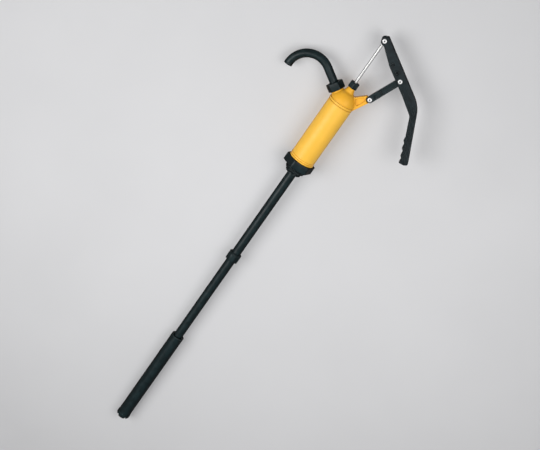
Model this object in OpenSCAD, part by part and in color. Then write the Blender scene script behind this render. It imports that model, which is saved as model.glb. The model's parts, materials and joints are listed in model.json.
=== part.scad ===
// Lever-action drum barrel pump: a moulded barrel with a domed head screws into the bung of a drum, a
// telescopic suction tube reaches the bottom, and a hand lever with a link drives the piston rod.
// Frame: millimetres, +Z up along the barrel, origin on the axis at the face that seats on the drum,
// lever towards +X, spout towards -X. The rest pose has the lever down and the piston at its top.

/* [Barrel and head] */
// Outside diameter of the barrel
barrel_od = 73.5; // [70:0.5:78]
// Bore of the barrel
barrel_id = 65; // [62:0.5:66]
// Height of the seam between barrel and head
seam_z = 219.4; // [210:0.1:225]

/* [Base and drum threads] */
// Width across the flats of the base hexagon
base_af = 79.3; // [78:0.1:84]
// Height of the base hexagon
base_h = 23.5; // [20:0.5:28]
// Turn of the base hexagon about the axis
base_turn = 13; // [0:1:59]
// Outside diameter of the large drum thread (G 2)
thread_large_d = 59.6; // [58:0.1:60]
// Length of the large drum thread
thread_large_l = 13; // [10:0.5:16]
// Outside diameter of the small drum thread (G 1 1/2)
thread_small_d = 47.8; // [46:0.1:48]
// Length of the small drum thread
thread_small_l = 9; // [7:0.5:14]

/* [Suction tube] */
// Outside diameter of the suction tubes
tube_od = 27.5; // [26:0.1:28]
// Wall of the suction tubes
tube_wall = 2.4; // [2:0.1:3]
// Height of the middle of the tube coupling
coupling_z = -334; // [-350:0.5:-300]
// Length of the tube coupling
coupling_l = 27; // [26:0.5:34]
// Height of the top of the sliding sleeve
sleeve_top_z = -649; // [-655:1:-640]
// Height of the foot's lowest edge
foot_z = -985; // [-1000:1:-975]
// Outside diameter of the sliding sleeve
sleeve_od = 39.4; // [39:0.1:41]
// Wall of the sliding sleeve
sleeve_wall = 2.6; // [2.2:0.1:2.8]

/* [Spout] */
// Tilt of the spout port from the vertical
port_tilt = 57; // [55:1:58]
// Outside diameter of the spout
spout_od = 24; // [23:0.5:24]
// Wall of the spout
spout_wall = 2.5; // [2:0.1:3]
// Bend radius of the spout
spout_bend_r = 61.7; // [58:0.1:66]
// Distance along the port from the dome to the bend
spout_straight = 66.3; // [60:0.1:70]
// Length of the straight mouth below the bend
spout_mouth_l = 4.5; // [4:0.5:8]
// Width across the flats of the spout nut
spout_nut_af = 43; // [42:0.5:43]

/* [Rod and piston] */
// Diameter of the piston rod
rod_d = 8; // [8:0.5:8.5]
// Height of the rod pin at rest
rod_pin_z = 431; // [429:0.5:433]
// Underside of the piston nut at rest
piston_z = 140; // [138:1:150]
// Width across the flats of the gland nut
gland_af = 25.6; // [25:0.1:26.2]

/* [Lever and link] */
// Distance of the lever pin from the rod axis
lever_pin_x = 97; // [96:0.5:98]
// Height of the lever pin at rest
lever_pin_z = 365.5; // [364.5:0.5:366.5]
// Distance of the bracket pin from the rod axis
bracket_pin_x = 58.5; // [58:0.5:59]
// Height of the bracket pin
bracket_pin_z = 276.5; // [276:0.5:277]
// Thickness of the lever
lever_t = 22; // [21:0.5:23]
// Width of the channel inside the lever
channel_w = 13; // [12.8:0.1:13.2]
// Diameter of the pivot pins
pin_d = 6; // [5.8:0.1:6]
// Free play of the link's eye around the lever pin
eye_play = 4.7; // [4.6:0.1:4.8]

/* [Hidden] */
$fn = 96;
yellow = [0.95, 0.70, 0.16];
black = [0.10, 0.12, 0.13];
grey = [0.25, 0.27, 0.28];
steel = [0.78, 0.79, 0.80];
rubber = [0.05, 0.05, 0.05];
white = [0.88, 0.87, 0.82];

slip = 0.05;        // radial gap of a sliding fit
gap = 0.25;         // gap between parts that pass each other
eps = 0.01;         // overlap that keeps a cut or a joint clean
touch = 0.02;       // hairline between parts that touch
over = 1;           // how far a cutter runs past the face it opens
seal_inset = 0.3;   // how far a flat seal stays back from the edges of its seat
hex_ratio = cos(30);
oct_ratio = cos(22.5);

barrel_r = barrel_od / 2;
bore_r = barrel_id / 2;
tube_r = tube_od / 2;
tube_in = tube_r - tube_wall;
sleeve_r = sleeve_od / 2;
sleeve_in = sleeve_r - sleeve_wall;
rod_r = rod_d / 2;
pin_r = pin_d / 2;
spout_r = spout_od / 2;
spout_in = spout_r - spout_wall;
thread_large_r = thread_large_d / 2;
thread_small_r = thread_small_d / 2;

// Base: a cup for the barrel, a floor, and the drum threads below it
cup_floor_z = 6;
barrel_z = 8;               // underside of the barrel, on its seal
seat_pocket_z = -4;         // shelf that carries the valve seat
seat_pocket_r = 26;
tube_socket_z = -7;         // top of the socket for the upper tube
base_bead_gap = 0.3;        // from the base up to the bead around the foot of the barrel
base_bead_h = 3;
base_bead_r = barrel_r + 0.9;

// Foot valve
seat_port_r = 11;
seat_top_z = 4;
seat_lip_h = 1;
seat_lip_w = 2;
valve_r = 16;
valve_t = 3;
valve_z = seat_top_z + seat_lip_h + touch;
valve_lift = 5;
cage_z = valve_z + valve_t + valve_lift + 0.2;
cage_t = 2;
cage_r = 22;
cage_eye_r = 5;
cage_leg_r = 1.6;
cage_leg_at = 19;
cage_hole_r = 4.5;
cage_hole_at = 11.5;

// Head: a raised ring between two grooves, then the dome
ring_r = barrel_r + 0.8;
ring_z = seam_z + 0.6;
ring_top_z = seam_z + 5.8;
groove_r = barrel_r - 0.9;
dome_z = seam_z + 6.8;      // centre of the dome
dome_wall = 4.25;
neck_out = barrel_r - 2.4;  // neck of the barrel inside the head
neck_top_z = dome_z + 2;
seal_h = 1.9;
cone_z = dome_z + 32;       // the cone under the gland nut
cone_top_z = 276;
cone_r = 14.6;
cone_top_r = 9;
gland_z = cone_top_z + 0.7; // underside of the gland nut
gland_h = 14.7;
gland_thread_r = 8.8;
nut_chamfer = 0.6;
bush_r = 7;
bush_z = dome_z + 30.4;
bush_l = 17;
bush_flange_h = 2;          // how far the bush stands down into the dome
bush_boss_h = 6;            // boss of the head around the bush
bush_wall = 4;
packing_z = 280;
packing_r = 6.5;
packing_h = 6.4;
stem_top_z = cone_top_z + 11;

// Bracket arm: outlines in the XZ plane
arm_t = 18;
lug_t = 9;
lug_r = 6.6;
arm_root = [[12, 249.5], [27, 222], [36, 221]];         // where the arm leaves the dome
arm_upper_angle = 44;       // direction of its upper edge
arm_lower_angle = 67;       // direction its lower edge faces, less a right angle
arm_upper_root = [-8, 12];  // start of the upper edge, along and across that direction from the pin
arm_recess = [[25, 255, 3], [43, 273, 3], [50, 266, 3], [38, 238, 4]];

// Spout port, measured along the port axis from the dome's surface
port_r = 18;
port_h = 10.5;
port_seal_h = 1.5;
port_root = -8;             // the port starts inside the dome's wall
spout_flange_r = 17;
spout_flange_h = 3.3;
spout_nut_z = 1.2;
spout_nut_h = 20.5;
spout_turn = 180 - port_tilt;   // from the port's direction to straight down
port_depth = 14;            // from the dome's surface in to where the bore starts
mouth_rim = 0.35;
mouth_bore_step = 0.6;
mouth_lap = 4;              // how far the rim reaches back over the bend

// Piston, measured up from the underside of its nut
nut_af = 10;
nut_h = 5;
follower_t = 4;
follower_r = 29;
cup_t = 3;
cup_lip_h = 10;
cup_lip_t = 2.4;
cup_base_in = 24;
plate_t = 5;
stud_r = 3;
stud_tail = 2;
port_at = 15;
port_hole_r = 5;
piston_ports = 6;
piston_valve_r = 21;
piston_valve_t = 2.5;
piston_valve_lift = 4;
keeper_r = 12;
keeper_t = 2;
keeper_groove = 0.7;
follower_z = piston_z + nut_h;
cup_z = follower_z + follower_t;
plate_z = cup_z + cup_t;
piston_valve_z = plate_z + plate_t;
keeper_z = piston_valve_z + piston_valve_t + piston_valve_lift + 0.2;

// Lever: corners [x, z, radius] of its side outline, clockwise from the rod end
lever_rod_end = [[6.1, 418, 16], [-6.5, 420, 9], [-13.1, 438.4, 7], [3, 446.7, 4]];
lever_elbow = [176, 337.8, 90];
lever_grip_end = [[248.2, 186.7, 5], [238, 180, 10], [222.5, 178.6, 3]];
lever_neck = [[196.3, 248.6, 5], [172, 302.6, 16], [125.2, 335.2, 60], [50, 381.5, 60]];
first_ridge = [197.8, 237.9];
ridge_pitch = [8.8, -19.75];
ridge_dip = [6.5, -6.3];
ridge_r = 2.5;
dip_r = 3;
ridges = 3;
top_angle = atan((lever_elbow[1] - lever_rod_end[3][1]) / (lever_elbow[0] - lever_rod_end[3][0]));

// Pins and link
rod_pin = [0, rod_pin_z];
lever_pin = [lever_pin_x, lever_pin_z];
bracket_pin = [bracket_pin_x, bracket_pin_z];
web_t = 5;                  // top web of the lever's channel
channel_x = 126;            // end of the channel
cheek_holes = [[91.2, -2.5, 2.2], [66.2, -4.2, 1.6]];   // along and across from the rod pin, and radius
eye_block_r = 9;            // rounded end of the rod's eye
eye_block_neck = 13;        // from the rod pin down to the end of the eye
eye_neck_wall = 1.8;
rod_top = 10;               // from the rod pin down to the end of the rod
ear_face = lever_t / 2;
head_r = 6.2;
head_t = 2;
clip_r = 5.8;
clip_t = 1.2;
pin_tail = 1.6;
link_half_w = 9.3;
link_t = channel_w - 0.6;
fork_gap = 9.6;
fork_t = 19.4;
fork_face = fork_t / 2 + 2 * slip;
fork_r = 9;
fork_l = 23;                // depth of the fork from the bracket pin
fork_room = 2;              // free space around the fork's end
fork_blend = 6;             // length over which the fork steps down to the shank, twice
fork_step = 3;
recess_d = 3;               // depth of the recesses in the sides of the shank
recess_rim = 4;
recess_r = 2;
window_x0 = 14;
window_l = 6;
window_half_w = 3.5;
window_r = 2.9;
eye_r = 11.2;
link_vector = lever_pin - bracket_pin;
link_length = norm(link_vector);
link_angle = atan2(link_vector[1], link_vector[0]);

// Tube coupling, sleeve and foot
coupling_r = 20.3;
coupling_chamfer = 3;
coupling_step = 0.8;        // from the flats in to the round shoulder
coupling_rib = 2;           // rib between the ends of the two tubes
oring_r = 1;                // radius of an O-ring's section
oring_at = 7;               // seals either side of the coupling's middle
tube_gap = 0.7;
sleeve_bush_r = sleeve_r + 0.3;
sleeve_bush_h = 15;
sleeve_bush_lip = 2.2;
stop_h = 16;
stop_gap = 0.3;             // between the stop ring and the bush when the sleeve is fully out
lower_tube_end_z = sleeve_top_z - sleeve_bush_lip - sleeve_bush_h - stop_gap - stop_h;
stop_r = sleeve_in - 0.3;
stop_seal_r = sleeve_in - slip;
stop_groove_r = stop_seal_r - 2.2;
stop_seal_h = 3.2;
stop_seal_z = lower_tube_end_z + stop_h / 2;
foot_r = 21;
foot_h = 14;
foot_wall = 3;
foot_cone_h = 5;
foot_spigot_h = 13;
foot_notches = 4;
foot_notch_w = 9;
foot_notch_h = 7;
foot_holes_at = 9;
foot_hole_r = 2;
foot_middle_hole_r = 3;

// A ring about the Z axis from height z0 to height z1
module ring(r_out, r_in, z0, z1) {
    translate([0, 0, z0])
        difference() {
            cylinder(r = r_out, h = z1 - z0);
            translate([0, 0, -over]) cylinder(r = r_in, h = z1 - z0 + 2 * over);
        }
}

// A hexagonal prism by its width across flats
module hexagon(af, h) {
    cylinder(r = af / 2 / hex_ratio, h = h, $fn = 6);
}

// An O-ring about the Z axis, between two radii, centred at height z
module o_ring(r_out, r_in, z) {
    translate([0, 0, z])
        rotate_extrude()
            translate([(r_out + r_in) / 2, 0]) circle(r = (r_out - r_in) / 2);
}

// An outline in the XZ plane given a thickness along Y, centred on the plane
module slab(points, t) {
    rotate([90, 0, 0]) linear_extrude(height = t, center = true) polygon(points);
}

// A round bar along Y through a point of the XZ plane
module cross_bar(at, r, y0, y1) {
    translate([at[0], y0, at[1]]) rotate([-90, 0, 0]) cylinder(r = r, h = y1 - y0);
}

// The spout port's own frame: origin on the dome, local +Z out along the port
module at_port() {
    translate([0, 0, dome_z])
        rotate([0, -port_tilt, 0])
            translate([0, 0, barrel_r]) children();
}

// The link's own frame in the XZ plane: origin at the bracket pin, local +X towards the lever pin
module at_link() {
    translate([bracket_pin[0], 0, bracket_pin[1]]) rotate([0, -link_angle, 0]) children();
}

// Points of the arc that rounds corner q between its neighbours p and s
function unit(v) = v / norm(v);
function wrap(a) = a > 180 ? a - 360 : a < -180 ? a + 360 : a;
function xy(p) = [p[0], p[1]];
function corner(p, q, s, r, steps = 8) =
    let (u = unit(p - q), v = unit(s - q), half = acos(u * v) / 2)
    let (c = q + unit(u + v) * r / sin(half), reach = r / tan(half))
    let (a0 = atan2((q + u * reach - c)[1], (q + u * reach - c)[0]))
    let (a1 = atan2((q + v * reach - c)[1], (q + v * reach - c)[0]))
    [for (i = [0:steps]) c + r * [cos(a0 + wrap(a1 - a0) * i / steps), sin(a0 + wrap(a1 - a0) * i / steps)]];
// A closed outline from corners [x, y, radius]; a radius of 0 keeps the corner sharp
function rounded(k) =
    let (n = len(k))
    [for (i = [0:n - 1])
        each (k[i][2] == 0 ? [xy(k[i])]
            : corner(xy(k[(i + n - 1) % n]), xy(k[i]), xy(k[(i + 1) % n]), k[i][2]))];
// A box from x0 to x1 along the link, half_w to either side, its corners rounded
function box_outline(x0, x1, half_w, r) =
    rounded([[x0, -half_w, r], [x1, -half_w, r], [x1, half_w, r], [x0, half_w, r]]);
// A point from a pin, along and across a direction
function from_pin(pin, angle, along, across) =
    pin + along * [cos(angle), sin(angle)] + across * [-sin(angle), cos(angle)];

// ---- barrel, base and foot valve ----

module barrel() {
    color(yellow) difference() {
        union() {
            translate([0, 0, barrel_z]) cylinder(r = barrel_r, h = seam_z - barrel_z);
            translate([0, 0, base_h + base_bead_gap]) cylinder(r = base_bead_r, h = base_bead_h);
            translate([0, 0, seam_z - eps]) cylinder(r = neck_out, h = neck_top_z - seam_z);
        }
        translate([0, 0, barrel_z - over]) cylinder(r = bore_r, h = neck_top_z - barrel_z + 2 * over);
    }
}

module head_seal() {
    color(rubber) ring(neck_out - slip, bore_r + seal_inset, neck_top_z + touch, neck_top_z + seal_h);
}

module base_seal() {
    color(rubber) ring(barrel_r - seal_inset, bore_r + seal_inset, cup_floor_z + touch, barrel_z - touch);
}

module base_cap() {
    below = thread_large_l + thread_small_l;
    color(black) difference() {
        union() {
            rotate([0, 0, base_turn]) hexagon(base_af, base_h);
            translate([0, 0, -thread_large_l]) cylinder(r = thread_large_r, h = thread_large_l + eps);
            translate([0, 0, -below]) cylinder(r = thread_small_r, h = thread_small_l + eps);
        }
        translate([0, 0, cup_floor_z]) cylinder(r = barrel_r + slip, h = base_h);
        translate([0, 0, seat_pocket_z]) cylinder(r = seat_pocket_r, h = base_h);
        translate([0, 0, tube_socket_z - over]) cylinder(r = seat_port_r, h = base_h);
        translate([0, 0, -below - over]) cylinder(r = tube_r + slip, h = below + tube_socket_z + over);
    }
}

module valve_seat() {
    color(grey) {
        ring(seat_pocket_r - slip, seat_port_r, seat_pocket_z, seat_top_z);
        ring(seat_port_r + seat_lip_w, seat_port_r, seat_top_z - eps, seat_top_z + seat_lip_h);
    }
}

module suction_valve() {
    color(rubber) translate([0, 0, valve_z]) cylinder(r = valve_r, h = valve_t);
}

module valve_cage() {
    color(grey) {
        ring(cage_r, valve_r + gap, seat_top_z + touch, seat_top_z + cage_t);
        for (a = [45:90:315])
            rotate([0, 0, a]) translate([cage_leg_at, 0, seat_top_z + cage_t / 2])
                cylinder(r = cage_leg_r, h = cage_z - seat_top_z);
        difference() {
            ring(cage_r, cage_eye_r, cage_z, cage_z + cage_t);
            for (a = [0:90:270])
                rotate([0, 0, a]) translate([cage_hole_at, 0, cage_z - over])
                    cylinder(r = cage_hole_r, h = cage_t + 2 * over);
        }
    }
}

// ---- suction tube ----

module tube(z0, z1) {
    color(black) ring(tube_r, tube_in, z0, z1);
}

module upper_tube() {
    tube(coupling_z + tube_gap + coupling_rib / 2, tube_socket_z - 2 * slip);
}

module lower_tube() {
    tube(lower_tube_end_z, coupling_z - tube_gap - coupling_rib / 2);
}

module tube_coupling() {
    body_h = coupling_l - coupling_chamfer;
    shoulder_r = coupling_r * oct_ratio - coupling_step;
    color(black) difference() {
        translate([0, 0, coupling_z - coupling_l / 2]) {
            rotate([0, 0, 22.5]) cylinder(r = coupling_r, h = body_h, $fn = 8);
            cylinder(r = shoulder_r, h = body_h + coupling_chamfer / 2);
            translate([0, 0, body_h]) cylinder(r1 = shoulder_r, r2 = tube_r + 1, h = coupling_chamfer);
        }
        translate([0, 0, coupling_z + coupling_rib / 2]) cylinder(r = tube_r + slip, h = coupling_l);
        translate([0, 0, coupling_z - coupling_rib / 2 - coupling_l])
            cylinder(r = tube_r + slip, h = coupling_l);
        translate([0, 0, coupling_z - coupling_l]) cylinder(r = tube_in, h = 2 * coupling_l);
        for (side = [-1, 1])
            ring(tube_r + 2 * oring_r + slip, tube_in,
                coupling_z + side * oring_at - oring_r, coupling_z + side * oring_at + oring_r);
    }
}

module coupling_seals() {
    color(rubber)
        for (side = [-1, 1])
            o_ring(tube_r + 2 * oring_r, tube_r + slip / 2, coupling_z + side * oring_at);
}

module stop_ring() {
    half = stop_seal_h / 2 + 2 * slip;
    color(grey) difference() {
        ring(stop_r, tube_r + touch, lower_tube_end_z, lower_tube_end_z + stop_h);
        ring(stop_r + over, stop_groove_r, stop_seal_z - half, stop_seal_z + half);
    }
}

module stop_seal() {
    half = stop_seal_h / 2;
    color(rubber) ring(stop_seal_r, stop_groove_r + touch, stop_seal_z - half, stop_seal_z + half);
}

module sleeve() {
    color(black) ring(sleeve_r, sleeve_in, foot_z + foot_h, sleeve_top_z - sleeve_bush_lip);
}

module sleeve_bush() {
    color(black) {
        ring(sleeve_bush_r, tube_r + slip, sleeve_top_z - sleeve_bush_lip, sleeve_top_z);
        ring(sleeve_in - touch, tube_r + slip, sleeve_top_z - sleeve_bush_lip - sleeve_bush_h,
            sleeve_top_z - sleeve_bush_lip + eps);
    }
}

module foot_strainer() {
    color(black) difference() {
        union() {
            translate([0, 0, foot_z]) cylinder(r1 = foot_r - foot_wall, r2 = foot_r, h = foot_cone_h);
            translate([0, 0, foot_z + foot_cone_h - eps]) cylinder(r = foot_r, h = foot_h - foot_cone_h);
            translate([0, 0, foot_z + foot_h - eps]) cylinder(r = sleeve_in - touch, h = foot_spigot_h);
        }
        translate([0, 0, foot_z + foot_wall])
            cylinder(r = sleeve_in - foot_wall, h = foot_h + foot_spigot_h);
        for (a = [0:360 / foot_notches:359])
            rotate([0, 0, a + 45])
                translate([foot_r / 2, -foot_notch_w / 2, foot_z - over])
                    cube([foot_r, foot_notch_w, foot_notch_h + over]);
        for (a = [0:45:315])
            rotate([0, 0, a]) translate([foot_holes_at, 0, foot_z - over])
                cylinder(r = foot_hole_r, h = 2 * foot_wall);
        translate([0, 0, foot_z - over]) cylinder(r = foot_middle_hole_r, h = 2 * foot_wall);
    }
}

// ---- head ----

// Outline of the bracket arm: the lug around the bracket pin, and two edges down into the dome
function arm_outline() = concat(
    arm_root,
    [for (a = [arm_lower_angle - 90:15:arm_lower_angle + 75])
        bracket_pin + lug_r * [cos(a), sin(a)]],
    [from_pin(bracket_pin, arm_upper_angle, arm_upper_root[0], arm_upper_root[1])]);

module bracket_arm() {
    slab(arm_outline(), lug_t);
    difference() {
        slab(arm_outline(), arm_t);
        // the recess between the ribs, and the clearance for the fork of the link
        for (side = [-1, 1])
            translate([0, side * (lug_t + arm_t) / 2, 0]) {
                slab(rounded(arm_recess), arm_t);
                cross_bar(bracket_pin, fork_r + fork_room, -arm_t / 2, arm_t / 2);
            }
    }
}

// The dome with its ring, cone, port and arm, before it is hollowed
module head_outside() {
    translate([0, 0, ring_z]) cylinder(r = ring_r, h = ring_top_z - ring_z);
    translate([0, 0, ring_top_z - eps]) cylinder(r = groove_r, h = dome_z - ring_top_z + gap);
    intersection() {
        translate([0, 0, dome_z]) sphere(r = barrel_r);
        translate([0, 0, dome_z + gap - touch]) cylinder(r = barrel_r + over, h = barrel_r);
    }
    translate([0, 0, cone_z]) cylinder(r1 = cone_r, r2 = cone_top_r, h = cone_top_z - cone_z);
    at_port() translate([0, 0, port_root]) cylinder(r = port_r, h = port_h - port_root);
    bracket_arm();
}

// The hollow of the dome, and the socket for the barrel's neck with its seal
module head_inside() {
    translate([0, 0, dome_z]) sphere(r = barrel_r - dome_wall);
    translate([0, 0, ring_z - over])
        cylinder(r = neck_out + slip, h = neck_top_z + seal_h + slip - ring_z + over);
}

module head() {
    color(yellow) difference() {
        union() {
            difference() {
                head_outside();
                head_inside();
            }
            translate([0, 0, bush_z - bush_flange_h]) cylinder(r = bush_r + bush_wall, h = bush_boss_h);
            translate([0, 0, cone_top_z - eps]) cylinder(r = gland_thread_r, h = stem_top_z - cone_top_z);
        }
        translate([0, 0, bush_z - bush_boss_h]) cylinder(r = bush_r + slip, h = bush_l + bush_boss_h + slip);
        translate([0, 0, bush_z]) cylinder(r = rod_r + gap, h = stem_top_z);
        translate([0, 0, packing_z]) cylinder(r = packing_r + slip, h = stem_top_z);
        at_port() translate([0, 0, -port_depth]) cylinder(r = spout_in, h = port_depth + port_h + over);
        cross_bar(bracket_pin, pin_r + slip, -lug_t, lug_t);
    }
}

module rod_bush() {
    color(white) ring(bush_r, rod_r + slip, bush_z - bush_flange_h, bush_z + bush_l);
}

module gland_packing() {
    color(white) ring(packing_r, rod_r + slip, packing_z + touch, packing_z + packing_h);
}

module gland_nut() {
    plate_z0 = stem_top_z + 2 * slip;
    top_z = gland_z + gland_h;
    color(black) difference() {
        translate([0, 0, gland_z]) intersection() {
            rotate([0, 0, 30]) hexagon(gland_af, gland_h);
            // a cone takes the corners off the top
            cylinder(r1 = gland_af, r2 = gland_af / 2 - nut_chamfer, h = gland_h + nut_chamfer);
        }
        translate([0, 0, gland_z - over]) cylinder(r = gland_thread_r + slip, h = plate_z0 - gland_z + over);
        translate([0, 0, gland_z]) cylinder(r = rod_r + gap, h = top_z);
    }
}

// ---- spout ----

// The cross-section of the spout's pipe
module pipe_section() {
    difference() {
        circle(r = spout_r);
        circle(r = spout_in);
    }
}

module spout() {
    foot_z0 = port_h + port_seal_h;
    color(black) at_port() {
        ring(spout_r, spout_in, foot_z0, spout_straight);
        ring(spout_flange_r, spout_r - eps, foot_z0, foot_z0 + spout_flange_h);
        translate([-spout_bend_r, 0, spout_straight]) {
            rotate([90, 0, 0])
                rotate_extrude(angle = spout_turn) translate([spout_bend_r, 0]) pipe_section();
            // the straight mouth is a slightly thicker rim around the end of the bend
            rotate([0, -spout_turn, 0])
                translate([spout_bend_r, 0, 0])
                    ring(spout_r + mouth_rim, spout_in + mouth_bore_step, -mouth_lap, spout_mouth_l);
        }
    }
}

module spout_seal() {
    color(rubber) at_port() ring(spout_flange_r - seal_inset, spout_in + seal_inset,
        port_h + touch, port_h + port_seal_h - touch);
}

module spout_nut() {
    inside_h = port_h + port_seal_h + spout_flange_h + 3 * slip;
    color(black) at_port() difference() {
        intersection() {
            translate([0, 0, spout_nut_z]) hexagon(spout_nut_af, spout_nut_h);
            // a cone takes the corners off the outer end
            translate([0, 0, spout_nut_z])
                cylinder(r1 = spout_nut_af * 3 / 4, r2 = spout_nut_af / 2, h = spout_nut_h);
        }
        translate([0, 0, -over]) cylinder(r = port_r + slip, h = inside_h + over);
        translate([0, 0, inside_h - over]) cylinder(r = spout_r + gap, h = spout_nut_h);
    }
}

// ---- rod and piston ----

module piston_rod() {
    color(steel) {
        difference() {
            translate([0, 0, piston_valve_z]) cylinder(r = rod_r, h = rod_pin_z - rod_top - piston_valve_z);
            ring(rod_r + over, rod_r - keeper_groove, keeper_z, keeper_z + keeper_t);
        }
        translate([0, 0, piston_z - stud_tail])
            cylinder(r = stud_r, h = piston_valve_z - piston_z + stud_tail + eps);
    }
}

module rod_eye() {
    neck_z = rod_pin_z - eye_block_neck;
    color(grey) difference() {
        union() {
            cross_bar(rod_pin, eye_block_r, -link_t / 2, link_t / 2);
            translate([0, 0, neck_z]) cylinder(r = rod_r + eye_neck_wall, h = eye_block_neck - pin_r);
        }
        cross_bar(rod_pin, pin_r + slip, -lever_t, lever_t);
        translate([0, 0, neck_z - over])
            cylinder(r = rod_r + eps, h = eye_block_neck - rod_top + over + eps);
    }
}

module piston_nut() {
    color(steel) difference() {
        translate([0, 0, piston_z]) hexagon(nut_af, nut_h);
        translate([0, 0, piston_z - over]) cylinder(r = stud_r + eps, h = nut_h + 2 * over);
    }
}

// The flow ports through a piston disc
module piston_port_holes(z, h) {
    for (i = [0:piston_ports - 1])
        rotate([0, 0, i * 360 / piston_ports])
            translate([port_at, 0, z - over]) cylinder(r = port_hole_r, h = h + 2 * over);
}

module piston_follower() {
    color(grey) difference() {
        ring(follower_r, stud_r + touch, follower_z, cup_z);
        piston_port_holes(follower_z, follower_t);
    }
}

module piston_cup() {
    color(rubber) {
        ring(bore_r - slip, cup_base_in, cup_z, plate_z);
        ring(bore_r - slip, bore_r - cup_lip_t, plate_z - eps, plate_z + cup_lip_h);
    }
}

module piston_plate() {
    color(grey) difference() {
        union() {
            translate([0, 0, cup_z]) cylinder(r = cup_base_in - 2 * slip, h = cup_t + eps);
            translate([0, 0, plate_z]) cylinder(r = follower_r, h = plate_t);
        }
        translate([0, 0, cup_z - over]) cylinder(r = stud_r + touch, h = cup_t + plate_t + 2 * over);
        piston_port_holes(cup_z, cup_t + plate_t);
    }
}

module piston_valve() {
    color(rubber)
        ring(piston_valve_r, rod_r + slip + touch, piston_valve_z + touch, piston_valve_z + piston_valve_t);
}

module valve_keeper() {
    color(steel)
        ring(keeper_r, rod_r - keeper_groove + touch, keeper_z + touch, keeper_z + keeper_t - touch);
}

// ---- lever, link and pins ----

// Side outline of the lever: rod end, elbow and grip along the outer edge, then back along the inner
// edge over the finger ridges
function lever_outline() = rounded(concat(
    lever_rod_end, [lever_elbow], lever_grip_end,
    [for (i = [ridges - 1:-1:0])
        let (ridge = first_ridge + i * ridge_pitch, dip = ridge + ridge_dip)
        each [[dip[0], dip[1], dip_r], [ridge[0], ridge[1], ridge_r]]],
    lever_neck));

// Height of the underside of the lever's top web at a distance x from the rod axis
function web_z(x) = lever_elbow[1] + tan(top_angle) * (x - lever_elbow[0]) - web_t / cos(top_angle);

module lever() {
    color(black) difference() {
        slab(lever_outline(), lever_t);
        // the channel that takes the rod's eye and the link, open below and at the rod end
        slab([[-channel_x, web_z(-channel_x)], [channel_x - web_t, web_z(channel_x - web_t)],
            [channel_x, web_z(channel_x) - web_t], [channel_x, bracket_pin_z], [-channel_x, bracket_pin_z]],
            channel_w);
        for (pin = [rod_pin, lever_pin]) cross_bar(pin, pin_r + eps, -lever_t, lever_t);
        // the moulding holes in the front cheek, between the pins
        for (hole = cheek_holes)
            cross_bar(from_pin(rod_pin, top_angle, hole[0], hole[1]), hole[2], -lever_t, 0);
    }
}

// A headed pin along Y: the head lies outside the front face, the tail passes the back face
module rivet(at, face) {
    color(steel) {
        cross_bar(at, head_r, -face - head_t, -face);
        cross_bar(at, pin_r, -face - eps, face + clip_t + pin_tail);
    }
}

module clip(at, face) {
    color(steel) difference() {
        cross_bar(at, clip_r, face + touch, face + touch + clip_t);
        cross_bar(at, pin_r + eps, face - over, face + clip_t + over);
    }
}

module rod_pin_rivet() { rivet(rod_pin, ear_face); }
module lever_pin_rivet() { rivet(lever_pin, ear_face); }
module bracket_pin_rivet() { rivet(bracket_pin, fork_face); }
module lever_pin_clips() {
    clip(rod_pin, ear_face);
    clip(lever_pin, ear_face);
}
module bracket_pin_clip() { clip(bracket_pin, fork_face); }

// Outline of the fork: round at the bracket pin, widening to the shank
function fork_outline() =
    [[0, -fork_r], [fork_l + fork_blend, -link_half_w], [fork_l + 2 * fork_blend, -link_half_w + fork_step],
        [fork_l + 2 * fork_blend, link_half_w - fork_step], [fork_l + fork_blend, link_half_w], [0, fork_r]];

module link_body() {
    slab(box_outline(fork_blend, link_length - touch, link_half_w, 0), link_t);
    slab(fork_outline(), fork_t);
    cross_bar([0, 0], fork_r, -fork_t / 2, fork_t / 2);
    cross_bar([link_length, 0], eye_r, -link_t / 2, link_t / 2);
}

module link() {
    recess_x0 = fork_l + 2 * fork_blend + recess_rim / 2;
    recess_x1 = link_length - eye_r - fork_blend;
    color(black) at_link() difference() {
        link_body();
        // the fork's gap, and the side recesses between the ribs of the shank
        slab(box_outline(-fork_r - over, fork_l, fork_r + 2 * over, 0), fork_gap);
        for (side = [-1, 1])
            translate([0, side * (link_t - recess_d), 0])
                slab(box_outline(recess_x0, recess_x1, link_half_w - recess_rim, recess_r), link_t);
        // the oval window above the fork's pin
        slab(box_outline(window_x0, window_x0 + window_l, window_half_w, window_r), fork_t + over);
        cross_bar([0, 0], pin_r + slip, -fork_t, fork_t);
        cross_bar([link_length, 0], pin_r + eye_play, -fork_t, fork_t);
    }
}

barrel();
head();
head_seal();
base_cap();
base_seal();
valve_seat();
suction_valve();
valve_cage();
upper_tube();
tube_coupling();
coupling_seals();
lower_tube();
stop_ring();
stop_seal();
sleeve();
sleeve_bush();
foot_strainer();
spout();
spout_seal();
spout_nut();
gland_nut();
gland_packing();
rod_bush();
piston_rod();
rod_eye();
piston_nut();
piston_follower();
piston_cup();
piston_plate();
piston_valve();
valve_keeper();
lever();
rod_pin_rivet();
lever_pin_rivet();
lever_pin_clips();
link();
bracket_pin_rivet();
bracket_pin_clip();
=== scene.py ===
"""Visual model of a lever-action drum barrel pump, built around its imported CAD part.

The shapes are in millimetres in the pump's frame (+Z up the barrel, +X towards the lever) and become
metres where a mesh is made. Places and radii that the CAD part fixes are read from it.
"""

import json
import math

import bmesh
import bpy
from mathutils import Matrix, Vector


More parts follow.
